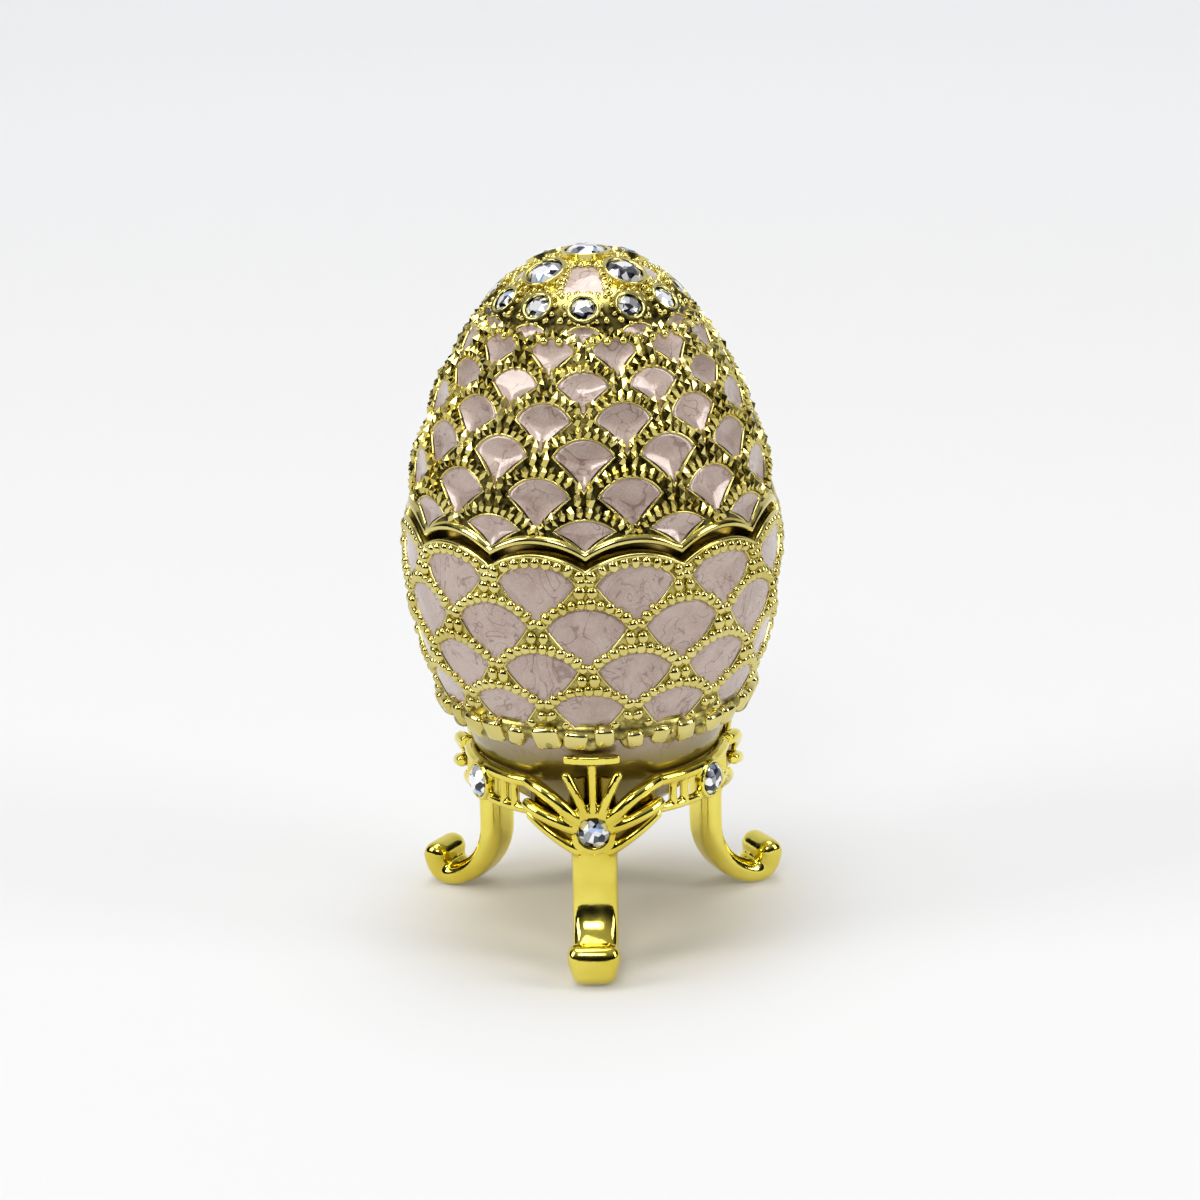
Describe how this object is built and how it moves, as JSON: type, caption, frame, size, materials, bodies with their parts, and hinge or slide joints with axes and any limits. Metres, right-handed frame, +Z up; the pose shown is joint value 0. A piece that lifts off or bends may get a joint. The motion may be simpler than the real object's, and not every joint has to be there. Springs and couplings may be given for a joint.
{
  "type": "decorative egg on stand",
  "caption": "Hinged egg-shaped trinket box with gold scale lattice, pink enamel cells and crystals, resting in a three-legged gallery stand.",
  "frame": {"origin": "on the egg's axis at the floor, under the middle of the stand", "axes": "+Z up along the egg's axis, -Y towards the front leg, +Y towards the hinge"},
  "size_m": [0.0348, 0.0384, 0.0644],
  "materials": {
    "stand_gold": "polished plating",
    "egg_gold": "bright pale gold plating on a cast lattice",
    "pink_enamel": "pearl enamel with a fine flake, glossy",
    "crystal": "cut and foiled",
    "collar_brass": "satin",
    "pin_brass": "drawn wire",
    "magnet": "nickel plated"
  },
  "bodies": {
    "stand": {"leg_front": "stand_gold", "leg_right": "stand_gold", "leg_left": "stand_gold", "leg_crystal_front": "crystal", "leg_crystal_right": "crystal", "leg_crystal_left": "crystal", "gallery_right": "stand_gold", "gallery_back": "stand_gold", "gallery_left": "stand_gold", "gallery_crystal_right": "crystal", "gallery_crystal_back": "crystal", "gallery_crystal_left": "crystal"},
    "cup": {"cup_shell": "egg_gold", "cup_enamel": "pink_enamel", "base_enamel": "pink_enamel", "rim_collar": "collar_brass", "cup_magnet": "magnet", "cup_hinge_leaf": "egg_gold", "hinge_pin": "pin_brass"},
    "lid": {"lid_shell": "egg_gold", "lid_enamel": "pink_enamel", "crown_enamel": "pink_enamel", "band_crystals": "crystal", "crown_crystals": "crystal", "top_crystal": "crystal", "lid_magnet": "magnet", "lid_hinge_leaf": "egg_gold"}
  },
  "joints": [
    {"name": "egg_lift", "type": "slide", "parent": "stand", "child": "cup", "axis": [0, 0, 1], "range_m": [0, 0.03]},
    {"name": "lid_hinge", "type": "hinge", "parent": "cup", "child": "lid", "pos_m": [0, 0.01809, 0.0403], "axis": [-1, 0, 0], "range_deg": [0, 100]}
  ]
}
